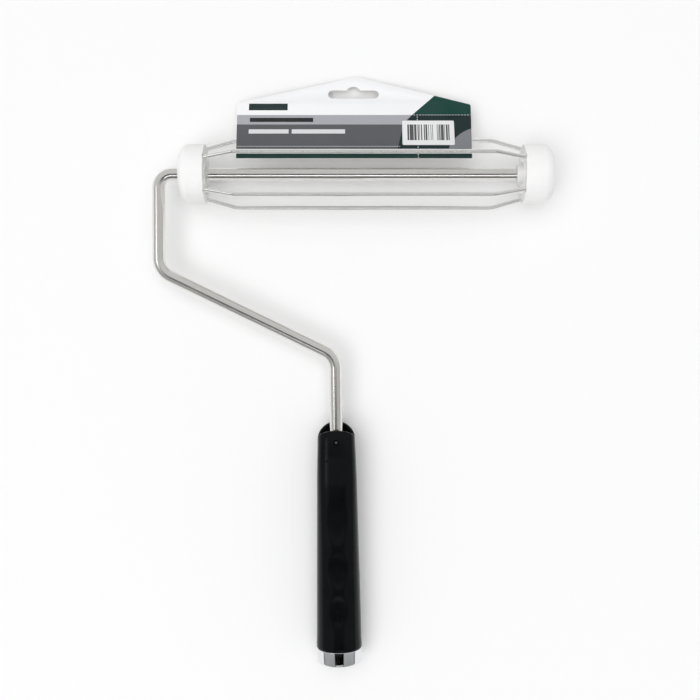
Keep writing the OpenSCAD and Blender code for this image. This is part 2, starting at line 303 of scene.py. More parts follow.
# ------------------------------------------------------------------ material tools
class Mat:
    def __init__(s, name, slot):
        s.m = bpy.data.materials.new(name)
        s.m.use_nodes = True
        s.slot = slot
        s.t = s.m.node_tree
        s.t.nodes.clear()
        out = s.t.nodes.new("ShaderNodeOutputMaterial")
        s.b = s.t.nodes.new("ShaderNodeBsdfPrincipled")
        s.t.links.new(s.b.outputs[0], out.inputs[0])
        s.height = None

    def put(s, sock, v):
        if isinstance(v, bpy.types.NodeSocket):
            s.t.links.new(v, sock)
        elif hasattr(sock.default_value, "__len__") and hasattr(v, "__len__") and len(v) == 3 and len(sock.default_value) == 4:
            sock.default_value = (*v, 1.0)
        else:
            sock.default_value = v

    def set(s, **k):
        for name, v in k.items():
            s.put(s.b.inputs[name.replace("_", " ")], v)

    def math(s, op, a, b=0.0, c=0.0, clamp=False):
        k = s.t.nodes.new("ShaderNodeMath")
        k.operation = op
        k.use_clamp = clamp
        for i, v in enumerate((a, b, c)):
            s.put(k.inputs[i], v)
        return k.outputs[0]

    def mix(s, f, a, b, kind="MIX"):
        k = s.t.nodes.new("ShaderNodeMix")
        k.data_type = "RGBA"
        k.blend_type = kind
        s.put(k.inputs[0], f)
        s.put(k.inputs[6], a)
        s.put(k.inputs[7], b)
        return k.outputs[2]

    def noise(s, vec, scale, detail=3.0, rough=0.55, dist=0.0):
        k = s.t.nodes.new("ShaderNodeTexNoise")
        s.put(k.inputs["Vector"], vec)
        s.put(k.inputs["Scale"], scale)
        s.put(k.inputs["Detail"], detail)
        s.put(k.inputs["Roughness"], rough)
        s.put(k.inputs["Distortion"], dist)
        return k.outputs[0]

    def voronoi(s, vec, scale, feature="F1"):
        k = s.t.nodes.new("ShaderNodeTexVoronoi")
        k.feature = feature
        s.put(k.inputs["Vector"], vec)
        s.put(k.inputs["Scale"], scale)
        return k.outputs["Distance"]

    def stretch(s, vec, sc, loc=(0, 0, 0), rot=(0, 0, 0)):
        k = s.t.nodes.new("ShaderNodeMapping")
        s.put(k.inputs["Vector"], vec)
        k.inputs["Scale"].default_value = sc
        k.inputs["Location"].default_value = loc
        k.inputs["Rotation"].default_value = rot
        return k.outputs[0]

    def rng(s, v, a, b, c, d, kind="LINEAR"):
        k = s.t.nodes.new("ShaderNodeMapRange")
        k.interpolation_type = kind
        for i, x in enumerate((v, a, b, c, d)):
            s.put(k.inputs[i], x)
        return k.outputs[0]

    def rest(s):
        k = s.t.nodes.new("ShaderNodeAttribute")
        k.attribute_name = "rest"
        return k.outputs["Vector"]

    def obj(s):
        return s.t.nodes.new("ShaderNodeTexCoord").outputs["Object"]

    def xyz(s, v):
        k = s.t.nodes.new("ShaderNodeSeparateXYZ")
        s.put(k.inputs[0], v)
        return k.outputs

    def bump(s, h, dist, strength=1.0):
        k = s.t.nodes.new("ShaderNodeBump")
        s.put(k.inputs["Strength"], strength)
        s.put(k.inputs["Distance"], dist)
        s.put(k.inputs["Height"], h)
        if s.height is not None:
            s.put(k.inputs["Normal"], s.height)
        s.height = k.outputs[0]
        s.put(s.b.inputs["Normal"], s.height)


def drawn_steel(name, slot, base, warm, rough, streak=900.0, bump=0.000012):
    """Bright drawn bar: fine streaks along the bar, faint handling marks, a little warmth."""
    m = Mat(name, slot)
    v = m.rest()
    fine = m.noise(m.stretch(v, (5, streak, streak)), 1.0, 3, 0.55)
    broad = m.noise(m.stretch(v, (6, 260, 260)), 1.0, 2, 0.5)
    smudge = m.noise(v, 70, 4, 0.6)
    rings = m.noise(m.stretch(v, (900, 40, 40)), 1.0, 2, 0.5)
    a = m.mix(m.rng(broad, 0.3, 0.7, 0, 1), base, warm)
    a = m.mix(m.rng(smudge, 0.5, 0.8, 0, 0.2), a, tuple(c * 0.88 for c in base))
    a = m.mix(m.rng(fine, 0.35, 0.8, 0, 0.2), a, tuple(c * 0.8 for c in base))
    r = m.math("ADD", m.rng(fine, 0.2, 0.8, rough - 0.04, rough + 0.05), m.rng(smudge, 0.45, 0.8, 0, 0.07))
    m.set(Base_Color=a, Metallic=1.0, Roughness=r)
    h = m.math("ADD", m.math("MULTIPLY", fine, 1.0), m.math("MULTIPLY", rings, 0.25))
    m.bump(h, bump)
    return m


def turned_metal(name, slot, base, rough, turn_scale=2600.0, bump=0.00001):
    """Turned or plated small metal part: faint circular lines and smudges."""
    m = Mat(name, slot)
    v = m.rest()
    s = m.xyz(v)
    rad = m.math("SQRT", m.math("ADD", m.math("MULTIPLY", s[0], s[0]), m.math("MULTIPLY", s[1], s[1])))
    k = m.t.nodes.new("ShaderNodeCombineXYZ")
    m.put(k.inputs[0], rad)
    m.put(k.inputs[1], s[2])
    line = m.noise(k.outputs[0], turn_scale, 2, 0.5)
    smudge = m.noise(v, 130, 4, 0.6)
    a = m.mix(m.rng(smudge, 0.45, 0.75, 0, 0.5), base, tuple(c * 0.78 for c in base))
    m.set(Base_Color=a, Metallic=1.0, Roughness=m.math("ADD", m.rng(line, 0.3, 0.7, rough - 0.03, rough + 0.04), m.rng(smudge, 0.5, 0.8, 0, 0.12)))
    m.bump(line, bump)
    return m


def nylon(name, slot, base, dirt, rough=0.42, bump=0.00003):
    """Moulded nylon: faint flow clouding, fine orange peel, small scuffs."""
    m = Mat(name, slot)
    v = m.rest()
    cloud = m.noise(v, 90, 3, 0.5, 0.6)
    peel = m.noise(v, 1700, 2, 0.5)
    scuff = m.noise(m.stretch(v, (240, 900, 240)), 1.0, 5, 0.7)
    a = m.mix(m.rng(cloud, 0.35, 0.7, 0, 0.6), base, tuple(c * 0.965 for c in base))
    a = m.mix(m.rng(scuff, 0.64, 0.78, 0, 0.3), a, dirt)
    m.set(Base_Color=a, Metallic=0.0, Roughness=m.math("ADD", m.rng(peel, 0.3, 0.7, rough - 0.05, rough + 0.06), m.rng(scuff, 0.6, 0.8, 0, 0.12)))
    m.set(IOR=1.5, Subsurface_Weight=0.12, Subsurface_Radius=(0.002, 0.002, 0.0018), Subsurface_Scale=0.5)
    m.bump(peel, bump)
    m.bump(cloud, 0.00004)
    return m


def black_plastic(name, slot, base, rough=0.36):
    """Black moulded polypropylene: fine spark texture, faint rubbed patches and hairline scratches."""
    m = Mat(name, slot)
    v = m.rest()
    grain = m.voronoi(v, 2100)
    cloud = m.noise(v, 60, 4, 0.6)
    hair = m.noise(m.stretch(v, (1500, 500, 34), rot=(0.0, 0.12, 0.3)), 1.0, 3, 0.7)
    a = m.mix(m.rng(cloud, 0.35, 0.75, 0, 1), base, tuple(c * 1.5 + 0.0006 for c in base))
    a = m.mix(m.rng(hair, 0.66, 0.76, 0, 0.35), a, (0.018, 0.019, 0.02))
    r = m.math("ADD", m.rng(cloud, 0.3, 0.75, rough - 0.03, rough + 0.06), m.rng(grain, 0, 0.7, 0.0, 0.04))
    m.set(Base_Color=a, Metallic=0.0, Roughness=r, IOR=1.5, Specular_IOR_Level=0.12)
    m.bump(grain, 0.000012)
    m.bump(cloud, 0.00004)
    return m


ROD_STEEL = drawn_steel("rod_steel", "rod_steel", (0.83, 0.82, 0.795), (0.86, 0.848, 0.82), 0.19, streak=2600.0, bump=0.0000022)
WIRE_STEEL = drawn_steel("wire_steel", "wire_steel", (0.93, 0.925, 0.915), (0.96, 0.955, 0.945), 0.13, streak=4200.0, bump=0.0000012)
SMALL_STEEL = turned_metal("small_steel", "small_steel", (0.62, 0.62, 0.61), 0.26)
PIN_STEEL = turned_metal("pin_steel", "small_steel", (0.13, 0.13, 0.13), 0.34)
CHROME = turned_metal("bright_chrome", "bright_chrome", (0.82, 0.83, 0.84), 0.045, 900.0, 0.000003)
WHITE = nylon("white_nylon", "white_nylon", (0.93, 0.93, 0.925), (0.84, 0.838, 0.83))
BUSH = nylon("bush_nylon", "bush_nylon", (0.80, 0.80, 0.78), (0.68, 0.67, 0.65), 0.38)
BLACK = black_plastic("black_plastic", "black_plastic", (0.0026, 0.0031, 0.0036), 0.16)
GREY = nylon("grey_plastic", "grey_plastic", (0.10, 0.10, 0.105), (0.2, 0.2, 0.2), 0.5)


def finish_piece(o, mat, body, *nodes):
    o.data.materials.clear()
    o.data.materials.append(mat.m)
    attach(o, body)
    if nodes:
        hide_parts(*nodes)
    return o


# ------------------------------------------------------------------ rod and small steel
rod_pts = [(TIP_X, 0), (ARM_X, 0), (ARM_X - 0.05, -ARM_DROP), (STEM_X, -STEM_DROP),
           (STEM_X + (HANDLE_TOP + 82) * math.sin(LEAN), -STEM_DROP - (HANDLE_TOP + 82) * math.cos(LEAN))]
rod = tube("bent_rod", rod_pts, [0, 8.5, 13, 12, 0], ROD_R, PLANE, n=56, chamfer=0.6)
finish_piece(rod, ROD_STEEL, "frame", "frame_rod")

ring = lathe("stop_collar", rounded([(IN_X + 0.2, ROD_R + 0.01, 0.15), (IN_X + 0.2, 6.2, 0.45), (IN_X + 3.0, 6.2, 0.45), (IN_X + 3.0, ROD_R + 0.01, 0.15)], True), TURN_X)
finish_piece(ring, SMALL_STEEL, "frame", "rod_stop_ring")
for nm, x0, node in (("inner_washer", IN_X + 3.15, "inner_thrust_washer"), ("outer_washer", HALF + 9.15, "outer_thrust_washer")):
    w = lathe(nm, rounded([(x0, ROD_R + 0.15, 0.1), (x0, 6.4, 0.28), (x0 + 1, 6.4, 0.28), (x0 + 1, ROD_R + 0.15, 0.1)], True), TURN_X)
    finish_piece(w, SMALL_STEEL, "frame", node)
# toothed nut: dished ring with six teeth between notches
th = np.linspace(0, 2 * math.pi, 144, endpoint=False)
prof = rounded([(0.8, ROD_R - 0.02), (0.0, 5.0, 0.4), (0.0, 6.3, 0.12), (0.5, 6.3, 0.12), (0.5, 5.1, 0.4), (1.3, ROD_R - 0.02)], False)
nv = []
for a, r in prof:
    for t in th:
        notch = abs(((t / (2 * math.pi) * 6 + 0.5) % 1) - 0.5) < 0.085
        q = max(r, 4.85) if notch else r
        k = 0.0 if not notch else (max(r, 4.85) - r) / (5.0 - ROD_R)
        nv.append((q * math.cos(t), q * math.sin(t), HALF + 10.3 + a - 0.8 * k * (1 if a > 0 else 0) * 0.9))
nut = make("toothed_nut", nv, grid_faces(len(prof), 144, True), TURN_X, smooth=32)
finish_piece(nut, SMALL_STEEL, "frame", "push_nut")

# ------------------------------------------------------------------ wires
slope = math.atan((WIRE_R - WIRE_IN_R) / WIRE_TAPER)
SINK = 7.5
for i in range(5):
    m = AXLE @ Matrix.Rotation(math.radians(CAGE_TURN + 72 * i), 4, "X")
    e = HALF + SINK
    pts = [(-e, WIRE_IN_R - SINK * math.tan(slope)), (-HALF + WIRE_TAPER, WIRE_R), (HALF - WIRE_TAPER, WIRE_R), (e, WIRE_IN_R - SINK * math.tan(slope))]
    w = tube(f"spring_wire_{i + 1}", pts, [0, 9, 9, 0], WR, m, n=28, chamfer=0.2)
    finish_piece(w, WIRE_STEEL, "cage", f"cage_wire_{i + 1}")


# ------------------------------------------------------------------ caps, bushes, plug
def cap_profile(s, l, recess_from):
    """Moulded cap from its bore, across the inner face with its ring groove, up the side, over the shoulder and into the outer recess."""
    p = [(s * HALF, 5.8, 0.25), (s * HALF, 7.6, 0.25), (s * (HALF + 1.4), 8.0, 0.3), (s * (HALF + 1.4), 12.6, 0.3), (s * HALF, 13.0, 0.25),
         (s * HALF, CAP_R - 0.3, 0.3), (s * (HALF + 0.6), CAP_R, 0.5)]
    for k in range(0, 19):
        a = math.radians(90 * k / 18)
        p.append((s * (HALF + l * 0.6 + (l * 0.4 - 0.3) * math.sin(a)), CAP_TIP_R + (CAP_R - CAP_TIP_R) * math.cos(a)))
    p += [(s * (HALF + l), CAP_TIP_R - 0.4, 0.2), (s * (HALF + l), 7.0, 0.35), (s * recess_from, 7.0, 0.2), (s * recess_from, 5.8, 0.2)]
    return rounded(p, True)


def cut_sockets(o, s):
    for i in range(5):
        a = math.radians(CAGE_TURN + 72 * i)
        m = (AXLE @ Matrix.Rotation(a, 4, "X") @ Matrix.Translation((s * (HALF + SINK), WIRE_IN_R - SINK * math.tan(slope), 0))
             @ Matrix.Rotation((math.pi - slope) if s > 0 else slope, 4, "Z") @ Matrix.Rotation(math.pi / 2, 4, "Y"))
        mouth = SINK / math.cos(slope)
        prof = [(-0.02, 0.0), (-0.02, WR + 0.03), (mouth - 1.0, WR + 0.03), (mouth - 0.55, WR + 0.12), (mouth + 0.35, WR + 0.85), (14.0, WR + 0.85), (14.0, 0.0)]
        boolean(o, lathe("cutter", prof, m, n=32, closed=False), smooth=32)


def ribs(o, s):
    """Ten small stiffening ribs across the ring groove of the inner face."""
    for i in range(10):
        a = CAGE_TURN + 36 + 36 * i if i % 2 else CAGE_TURN + 36 * i
        m = AXLE @ Matrix.Rotation(math.radians(CAGE_TURN + 18 + 36 * i), 4, "X")
        x0, x1 = HALF + 0.35, HALF + 2.0
        v, z = [], 0.45
        for x in (x0, x1):
            for y, w in ((7.4, z), (13.2, z)):
                v += [(s * x, y, -w), (s * x, y, w)]
        f = [(0, 1, 3, 2), (4, 6, 7, 5), (0, 4, 5, 1), (2, 3, 7, 6), (0, 2, 6, 4), (1, 5, 7, 3)]
        boolean(o, make("rib", v, f, m), "UNION", smooth=32)


cap_in = lathe("cap_arm_side", cap_profile(-1, IN_LEN, HALF + IN_LEN - 5.6), TURN_X, n=128)
cut_sockets(cap_in, -1)
cap_out = lathe("cap_free_end", cap_profile(1, OUT_LEN, HALF + 7.8), TURN_X, n=128)
cut_sockets(cap_out, 1)
ribs(cap_in, -1)
ribs(cap_out, 1)
finish_piece(cap_in, WHITE, "cage", "inner_end_cap")
finish_piece(cap_out, WHITE, "cage", "outer_end_cap")

b_in = lathe("bush_arm_side", rounded([(-HALF, ROD_R + 0.06, 0.15), (-HALF, 5.8, 0.2), (IN_X + 5.6, 5.8), (IN_X + 5.6, 6.8, 0.15), (IN_X + 4.3, 6.8, 0.25), (IN_X + 4.3, ROD_R + 0.06, 0.2)], True), TURN_X)
finish_piece(b_in, BUSH, "cage", "inner_bush")
b_out = lathe("bush_free_end", rounded([(HALF - 3.75, ROD_R + 0.06, 0.15), (HALF - 3.75, 5.2, 0.3), (HALF - 3.2, 5.6, 0.3), (HALF, 5.8), (HALF + 7.8, 5.8), (HALF + 7.8, 6.8, 0.15), (HALF + 9, 6.8, 0.25), (HALF + 9, ROD_R + 0.06, 0.2)], True), TURN_X)
finish_piece(b_out, BUSH, "cage", "outer_bush")
plug = lathe("end_plug", rounded([(OUT_X - 2.2, 0.0), (OUT_X - 2.2, 5.9, 0.4), (OUT_X - 5.4, 5.9, 0.15), (OUT_X - 5.4, 7.0, 0.3), (OUT_X - 0.9, 7.0, 0.4), (OUT_X - 0.3, 6.4, 0.6), (OUT_X - 0.02, 4.6, 2.0),
                                  (OUT_X - 0.1, 2.0, 0.3), (OUT_X - 0.45, 1.6, 0.2), (OUT_X - 0.45, 0.0)], False), TURN_X, closed=False)
finish_piece(plug, WHITE, "cage", "outer_cap_plug")

# ------------------------------------------------------------------ handle
HALF_W = [[0, 11.85], [12, 12.05], [37, 12.65], [62, 13.05], [88, 13.45], [113, 13.85], [134, 14.1], [140, 14.25], [143, 14.4], [145.6, 14.4], [146.3, 13.9]]
FRONT_H = [[0, 9.9], [4, 10.8], [8, 11.15], [19, 11.45], [21, 11.55], [38, 12.85], [40, 12.95], [80, 13.55], [110, 13.85], [134, 13.9], [143, 14.1], [145.6, 14.1], [146.3, 13.6]]
BACK_H = [[0, 9.9], [4, 10.6], [8, 11.0], [18, 11.6], [32, 12.8], [45, 12.6], [56, 11.8], [68, 12.7], [80, 12.3], [92, 11.9], [104, 12.8], [118, 13.2], [134, 13.6],
          [143, 14.1], [145.6, 14.1], [146.3, 13.6]]
SQUARE = [[0, 2.9], [40, 3.0], [60, 2.6], [90, 2.3], [130, 2.1], [146.3, 2]]
BLEND = 24.0


def soft(table, q):
    """The table's value at q, its corners slightly eased."""
    x, y = np.array(table).T
    return float(np.mean([np.interp(np.clip(q + d, 0, 146.3), x, y) for d in np.linspace(-1.0, 1.0, 9)])) if 3 < q < 141 else float(np.interp(q, x, y))


def spow(v, n):
    return np.sign(v) * np.abs(v) ** (2 / n)


def scoops(s, x):
    """Depth of the three shallow finger scoops down the front, each a smooth dish with no edge."""
    d = np.zeros_like(x)
    for mid, half, wide, deep in ((62.0, 17.0, 7.4, 0.75), (94.0, 13.0, 7.8, 0.7), (120.0, 11.5, 7.2, 0.65)):
        q = np.clip(1 - ((s - mid) / half) ** 2 - (x / wide) ** 2, 0, 1)
        d = np.maximum(d, deep * q * q * (3 - 2 * q))
    return d


def handle_ring(s, t, ang, lift=0.0):
    q = max(0.0, s)
    n = soft(SQUARE, q)
    w = soft(HALF_W, q) - t
    x = w * spow(np.cos(ang), n)
    h = np.where(np.sin(ang) >= 0, soft(FRONT_H, q), soft(BACK_H, q)) - t
    y = h * spow(np.sin(ang), n)
    if t == 0 and s > 40:
        y = np.where(np.sin(ang) > 0.2, y - scoops(s, x), y)
    e = np.minimum(1, np.abs(x) / (w + 0.01))
    a = 1 - np.sqrt(np.maximum(0, 1 - e * e))
    r = 9.3 * a + 4.6 * np.clip((y + 9.9) / 19.8, 0, 1) * (1 - a)
    z = np.full_like(x, s * HANDLE_LEN / 146.3) if s >= BLEND else r + (BLEND - r) * s / BLEND
    return np.stack([x, y, z + lift], -1)


COLS = 192
base = np.linspace(0, 2 * math.pi, COLS, endpoint=False)
ANG = base + 0.10 * np.sin(4 * base) * 0.5
rings = []
for k in range(0, 7):                                    # rounded lip, from inside to outside
    p = math.pi * k / 6
    t = 0.85 + 0.85 * math.cos(p)
    rings.append(handle_ring(0.0, t, ANG, 0.62 * (1 - math.sin(p))))
for s in list(np.arange(1.2, 12, 0.9)) + list(np.arange(12, 140, 1.0)) + [140.6, 141.4, 142.2, 143, 144, 145, 145.5, 145.9, 146.15, 146.3]:
    rings.append(handle_ring(float(s), 0.0, ANG))
for t, z in ((0.5, 146.3), (2.8, 146.3)):
    r = handle_ring(146.3, t, ANG)
    rings.append(r)
circle = lambda rad, z: np.stack([rad * np.cos(ANG), rad * np.sin(ANG), np.full(COLS, z)], -1)
rings += [circle(11.0, HANDLE_LEN), circle(11.0, HANDLE_LEN - 46), circle(0.0, HANDLE_LEN - 46)]
inner = [circle(0.0, 82.0), circle(ROD_R, 82.0), circle(ROD_R, 18.0), circle(5.6, 18.0), circle(7.0, 18.0)]
for s in (18.0, 16.0, 13.0, 10.0, 7.0, 4.0, 2.0, 1.0):
    inner.append(handle_ring(s, 1.7 + (0.6 if s == 18.0 else 0.0), ANG))
allr = inner + rings
hv = np.concatenate(allr)
body = make("grip", hv, grid_faces(len(allr), COLS), HANDLE, smooth=38, merge=2e-4)
PIN_Z = 11.8
cutter = lathe("cutter", [(-14, 0.0), (-14, 1.04), (9.9, 1.04), (10.75, 1.45), (11.1, 1.9), (14, 1.9), (14, 0)], HANDLE @ Matrix.Translation((0, 0, PIN_Z)) @ Matrix.Rotation(-math.pi / 2, 4, "X"), n=40, closed=False)
boolean(body, cutter, smooth=38)
finish_piece(body, BLACK, "frame", "handle_body")
pin = lathe("cross_pin", rounded([(-11.2, 0.0), (-11.2, 1.0, 0.3), (11.15, 1.0, 0.4), (11.45, 0.55, 0.3), (11.5, 0.0)], False), HANDLE @ Matrix.Translation((0, 0, PIN_Z)) @ Matrix.Rotation(-math.pi / 2, 4, "X"), n=40, closed=False)
finish_piece(pin, PIN_STEEL, "frame", "handle_pin")

# ------------------------------------------------------------------ pole socket with its thread, and the ferrule
FOOT = HANDLE @ Matrix.Translation((0, 0, HANDLE_LEN))
N = 128
t = np.linspace(0, 2 * math.pi, N, endpoint=False)
top = FERRULE_LEN - 0.9
outer = rounded([(-46, 0.0), (-46, 11.0, 0.5), (0.02, 11.0), (0.02, 13.17, 0.3), (top, 13.17, 0.3), (top, 9.4, 0.5)], False)
rows = [np.stack([r * np.cos(t), r * np.sin(t), np.full(N, a)], -1) for a, r in outer]
PITCH, CREST, ROOT = 5.08, 7.1, 9.35
z = top - 0.6
while z > top - 42 + 0.6:
    u = (z / PITCH + t / (2 * math.pi)) % 1.0
    tri = np.abs(u - 0.5) * 2
    depth = np.clip((tri - 0.18) / 0.64, 0, 1)
    fade = min(1.0, max(0.0, (z - (top - 42)) / 6.0))
    flare = max(0.0, 1 - (top - z) / 3.2)
    r = CREST + (ROOT - CREST) * np.maximum(depth * fade, flare)
    rows.append(np.stack([r * np.cos(t), r * np.sin(t), np.full(N, z)], -1))
    z -= 0.28
rows += [np.stack([r * np.cos(t), r * np.sin(t), np.full(N, top - 42.0)], -1) for r in (6.6, 0.0)]
insert = make("pole_socket_insert", np.concatenate(rows), grid_faces(len(rows), N), FOOT, smooth=38, merge=2e-4)
finish_piece(insert, GREY, "frame", "socket_insert")
FR = FERRULE_D / 2
ferrule = lathe("foot_ferrule", rounded([(0.06, 13.2, 0.1), (0.06, FR - 0.05, 0.25), (1.1, FR, 0.3), (FERRULE_LEN, FR, 1.7), (FERRULE_LEN, 8.6, 0.3), (FERRULE_LEN - 0.9, 8.6, 0.3), (FERRULE_LEN - 0.9, 13.2, 0.4)], True), FOOT, n=144, smooth=40)
finish_piece(ferrule, CHROME, "frame", "end_ferrule")

# ------------------------------------------------------------------ header card and label
W, V = CARD_W / 2, CARD_W / 2 + CARD_FLARE
PX = 1.8
outline = rounded_outline([(-W, 0, 0.3), (W, 0, 0.3), (V, CARD_SIDE - 2.4, 1.0), (V - 0.5, CARD_SIDE - 1.2, 1.0), (PX + 4, CARD_H - 1.2, 3), (PX + 1.8, CARD_H - 0.3, 2), (PX, CARD_H, 3),
                           (PX - 1.8, CARD_H - 0.3, 2), (PX - 4, CARD_H - 1.2, 3), (-V + 0.5, CARD_SIDE, 0.8), (-V, CARD_SIDE - 1.2, 0.8)], 8)
SC, SW = -0.3, 32.6 / 2
lo, hi, rad = 45.4, 51.7, 3.15
slot = []
for k in range(25):                                     # left end
    a = math.pi / 2 + math.pi * k / 24
    slot.append((SC - SW + rad + rad * math.cos(a), (lo + hi) / 2 + rad * math.sin(a)))
for k in range(25):                                     # right end
    a = -math.pi / 2 + math.pi * k / 24
    slot.append((SC + SW - rad + rad * math.cos(a), (lo + hi) / 2 + rad * math.sin(a)))
h = math.asin((hi - 50.1) / 4.5)
for k in range(25):                                     # the bump over the middle
    a = h + (math.pi - 2 * h) * k / 24
    slot.append((SC + 4.5 * math.cos(a), 50.1 + 4.5 * math.sin(a)))
card = plate("card_board", outline, [slot], CARD_T, 0.1, CARD)


def srgb(r, g, b):
    f = lambda c: (c / 255 / 12.92) if c / 255 <= 0.04045 else ((c / 255 + 0.055) / 1.055) ** 2.4
    return (f(r), f(g), f(b))


def card_material():
    m = Mat("printed_card", "printed_card")
    x, y, zz = m.xyz(m.stretch(m.rest(), (1000, 1000, 1000)))
    wav = m.noise(m.rest(), 300, 2, 0.5)
    y = m.math("ADD", y, m.rng(wav, 0, 1, -0.05, 0.05))
    gt = lambda a, b: m.math("GREATER_THAN", a, b)
    lt = lambda a, b: m.math("LESS_THAN", a, b)
    mul = lambda *a: a[0] if len(a) == 1 else m.math("MULTIPLY", a[0], mul(*a[1:]))
    box = lambda x0, x1, y0, y1: mul(gt(x, x0), lt(x, x1), gt(y, y0), lt(y, y1))
    side = lambda x0, y0, x1, y1: gt(m.math("SUBTRACT", m.math("MULTIPLY", m.math("SUBTRACT", y, y0), x1 - x0), m.math("MULTIPLY", m.math("SUBTRACT", x, x0), y1 - y0)), 0.0)
    band = lambda v, pitch, share: lt(m.math("FRACT", m.math("DIVIDE", v, pitch)), share)
    white, light, dark = (0.935, 0.94, 0.95), (0.40, 0.41, 0.44), (0.105, 0.108, 0.118)
    deep, green, strip = (0.006, 0.022, 0.021), (0.003, 0.050, 0.038), (0.005, 0.036, 0.029)
    c = m.mix(box(-90, 90, -5, 32.6), white, light)
    c = m.mix(box(-90, 90, -5, 25.3), c, dark)
    c = m.mix(box(-90, 90, -5, 7.1), c, strip)
    # dark leaf behind the label, its left edge leaning, and the light sweep at the lower right
    leaf = mul(lt(side(27.6, 7.5, 31.4, 25.3), 0.5), box(20, 90, 7.1, 32.6), m.math("MAXIMUM", gt(x, 40.3), lt(y, 25.3)))
    leaf2 = mul(lt(side(30.8, 25.3, 37.1, 32.6), 0.5), box(30, 90, 25.3, 32.6))
    c = m.mix(m.math("MAXIMUM", leaf, leaf2), c, deep)
    dx, dy = m.math("SUBTRACT", x, 82.0), m.math("SUBTRACT", y, -2.0)
    inside = lt(m.math("ADD", m.math("MULTIPLY", m.math("DIVIDE", dx, 24.0), m.math("DIVIDE", dx, 24.0)), m.math("MULTIPLY", m.math("DIVIDE", dy, 25.5), m.math("DIVIDE", dy, 25.5))), 1.0)
    c = m.mix(mul(inside, box(40.3, 90, 7.1, 32.6)), c, (0.215, 0.22, 0.235))
    # green corner panel
    tri = mul(lt(side(37.1, 32.6, 51.6, 47.3), 0.5), gt(y, 32.6), gt(x, 36))
    c = m.mix(tri, c, green)
    c = m.mix(mul(gt(x, 40.3), lt(y, 7.1)), c, (0.006, 0.030, 0.026))
    # plain bars where the print would be
    ink = (0.012, 0.028, 0.027)
    c = m.mix(box(-67.3, -42.5, 36.2, 41.4), c, ink)
    c = m.mix(box(-66.4, -26.0, 27.2, 30.4), c, (0.02, 0.02, 0.022))
    c = m.mix(m.math("MAXIMUM", box(-66.8, -41.5, 18.4, 21.6), box(-39.5, -5.7, 18.4, 21.6)), c, (0.72, 0.72, 0.74))
    # perforations: rows of short pale nicks
    rows = m.math("MAXIMUM", mul(box(-73.6, 29.0, 8.5, 9.0), band(x, 1.5, 0.55)),
                  m.math("MAXIMUM", mul(box(32.6, 74.4, 32.35, 32.85), band(x, 1.9, 0.5)), mul(box(40.1, 40.6, -1, 32.4), band(y, 1.9, 0.5))))
    c = m.mix(rows, c, (0.74, 0.74, 0.75))
    fibre = m.noise(m.stretch(m.rest(), (900, 2600, 900)), 1.0, 4, 0.6)
    cloud = m.noise(m.rest(), 45, 3, 0.5)
    c = m.mix(m.rng(fibre, 0.35, 0.75, 0.0, 0.012), c, (0.5, 0.5, 0.5))
    c = m.mix(m.rng(cloud, 0.35, 0.7, 0.0, 0.01), c, (0.9, 0.9, 0.9))
    # unprinted back and bare cut edges
    front = gt(zz, 0.13)
    c = m.mix(front, m.mix(m.rng(fibre, 0.3, 0.7, 0, 1), (0.70, 0.69, 0.67), (0.62, 0.61, 0.585)), c)
    m.set(Base_Color=c, Metallic=0.0, IOR=1.5, Specular_IOR_Level=0.2, Roughness=m.math("ADD", m.rng(fibre, 0.3, 0.7, 0.36, 0.46), m.math("MULTIPLY", m.math("SUBTRACT", 1.0, front), 0.3)))
    m.bump(fibre, 0.00001)
    m.bump(cloud, 0.0002)
    m.bump(m.math("MULTIPLY", rows, -1.0), 0.0002)
    return m


finish_piece(card, card_material(), "card", "header_card")

LX, LY, LW, LH = 30.6, 9.7, 33.0, 18.5
label = plate("stuck_label", rounded_outline([(LX, LY, 0.9), (LX + LW, LY, 0.9), (LX + LW, LY + LH, 0.9), (LX, LY + LH, 0.9)], 6), [], 0.118, 0.02, CARD, z0=CARD_T / 2 + 0.061)


def label_material():
    m = Mat("label_paper", "label_paper")
    x, y, zz = m.xyz(m.stretch(m.rest(), (1000, 1000, 1000)))
    k = m.t.nodes.new("ShaderNodeCombineXYZ")
    m.put(k.inputs[0], m.math("FLOOR", m.math("DIVIDE", x, 0.36)))
    bars = m.t.nodes.new("ShaderNodeTexWhiteNoise")
    bars.noise_dimensions = "3D"
    m.put(bars.inputs["Vector"], k.outputs[0])
    on = m.math("GREATER_THAN", bars.outputs["Value"], 0.46)
    area = m.math("MULTIPLY", m.math("MULTIPLY", m.math("GREATER_THAN", x, LX + 3.0), m.math("LESS_THAN", x, LX + LW - 2.4)),
                  m.math("MULTIPLY", m.math("GREATER_THAN", y, LY + 3.6), m.math("LESS_THAN", y, LY + LH - 3.0)))
    fibre = m.noise(m.stretch(m.rest(), (1400, 2200, 1400)), 1.0, 4, 0.6)
    c = m.mix(m.rng(fibre, 0.3, 0.7, 0, 1), (0.84, 0.84, 0.845), (0.80, 0.80, 0.80))
    c = m.mix(m.math("MULTIPLY", m.math("MULTIPLY", on, area), 0.93), c, (0.03, 0.03, 0.033))
    m.set(Base_Color=c, Metallic=0.0, IOR=1.5, Roughness=m.rng(fibre, 0.3, 0.7, 0.44, 0.56))
    m.bump(fibre, 0.000012)
    return m


finish_piece(label, label_material(), "card", "header_label")


